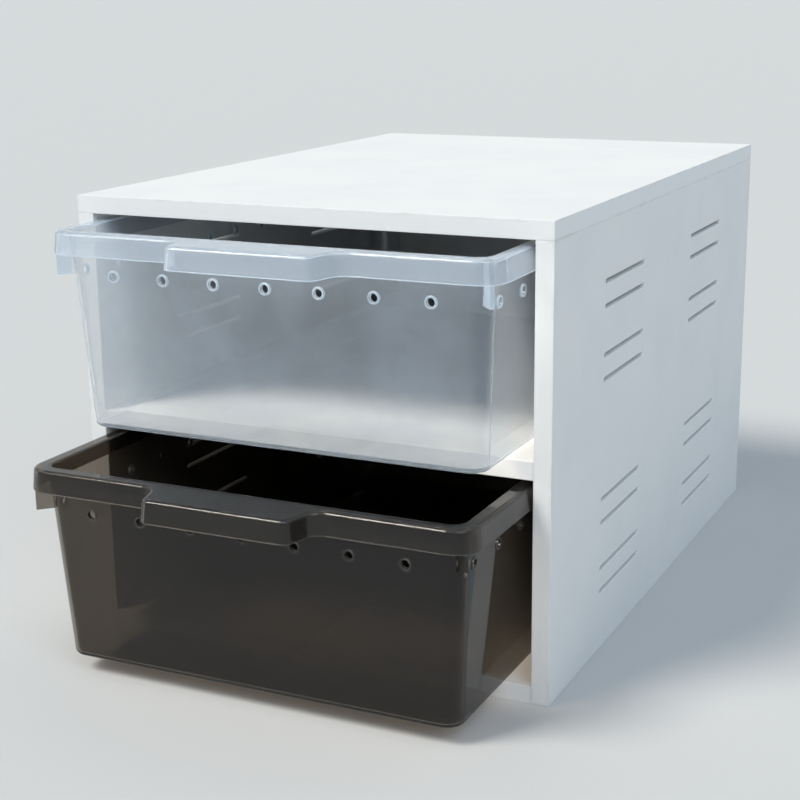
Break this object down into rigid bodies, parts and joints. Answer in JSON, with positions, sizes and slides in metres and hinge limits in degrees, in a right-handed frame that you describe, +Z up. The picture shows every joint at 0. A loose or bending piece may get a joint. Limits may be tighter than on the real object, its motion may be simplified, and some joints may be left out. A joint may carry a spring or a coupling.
{
  "type": "reptile breeding box",
  "caption": "White open-fronted cabinet with air slots in its sides and moulded vented tubs, clear above and smoke-tinted below, that slide out by a pull lip.",
  "frame": {"origin": "on the floor, under the middle of the cabinet's footprint", "axes": "+X to the right seen from the front, +Y to the back, +Z up; the tubs slide out along -Y"},
  "size_m": [0.34, 0.603, 0.308],
  "materials": {
    "white_board": "smooth white foam board",
    "dowel_wood": "plain turned beech",
    "clear_plastic": "clear, slightly milky moulding",
    "smoke_plastic": "smoke-tinted clear moulding"
  },
  "bodies": {
    "cabinet": {"top_panel": "white_board", "middle_shelf": "white_board", "bottom_panel": "white_board", "back_panel": "white_board", "left_side_panel": "white_board", "right_side_panel": "white_board", "top_left_dowels": "dowel_wood", "top_right_dowels": "dowel_wood", "shelf_left_dowels": "dowel_wood", "shelf_right_dowels": "dowel_wood", "bottom_left_dowels": "dowel_wood", "bottom_right_dowels": "dowel_wood", "back_left_dowels": "dowel_wood", "back_right_dowels": "dowel_wood"},
    "upper_tub": {"upper_tub": "clear_plastic"},
    "lower_tub": {"lower_tub": "smoke_plastic"}
  },
  "joints": [
    {"name": "upper_tub_slide", "type": "slide", "parent": "cabinet", "child": "upper_tub", "axis": [0, -1, 0], "range_m": [-0.056, 0.244]},
    {"name": "lower_tub_slide", "type": "slide", "parent": "cabinet", "child": "lower_tub", "axis": [0, -1, 0], "range_m": [-0.094, 0.206]}
  ]
}
